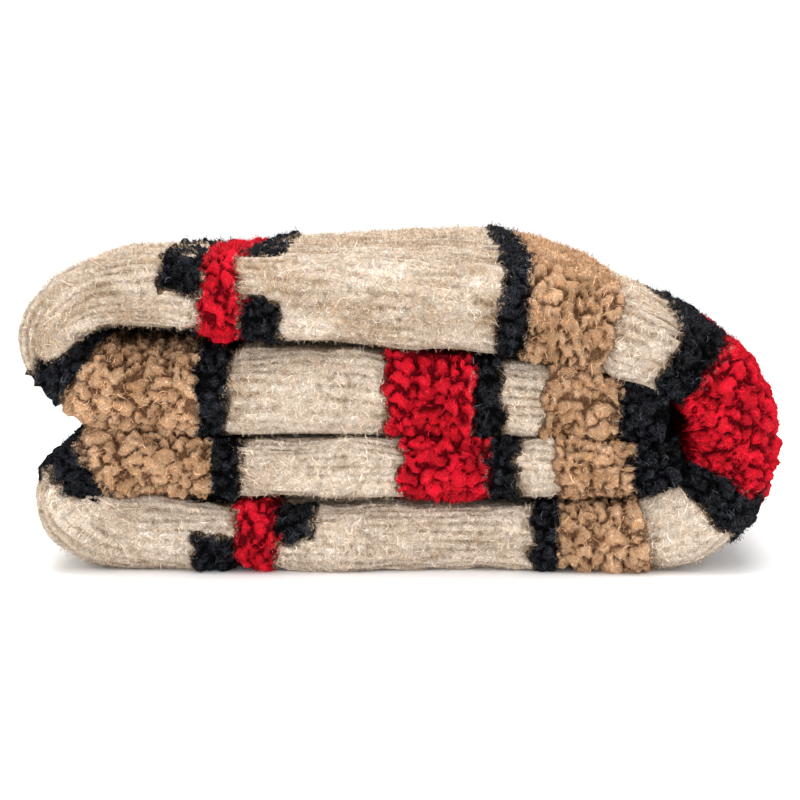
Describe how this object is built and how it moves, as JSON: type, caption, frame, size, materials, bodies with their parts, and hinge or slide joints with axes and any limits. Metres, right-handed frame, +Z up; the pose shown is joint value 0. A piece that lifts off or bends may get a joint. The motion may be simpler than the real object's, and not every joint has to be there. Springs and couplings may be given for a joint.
{
  "type": "folded wool blanket",
  "caption": "Thick wool pile blanket folded in a soft stack: a strip of plies with its ends folded in and halved, with round folds at the front and left.",
  "frame": {"origin": "middle of the stack's base, on the surface it lies on", "axes": "+X along the folded layers, from the two rounded folds on the left to the one big fold on the right; +Y from the round front folds to the open edges at the back; +Z up"},
  "size_m": [0.4652, 0.34, 0.1969],
  "materials": {
    "wool_pile": "thick brushed and curled wool pile"
  },
  "bodies": {
    "root": {"blanket": "wool_pile"}
  },
  "joints": []
}
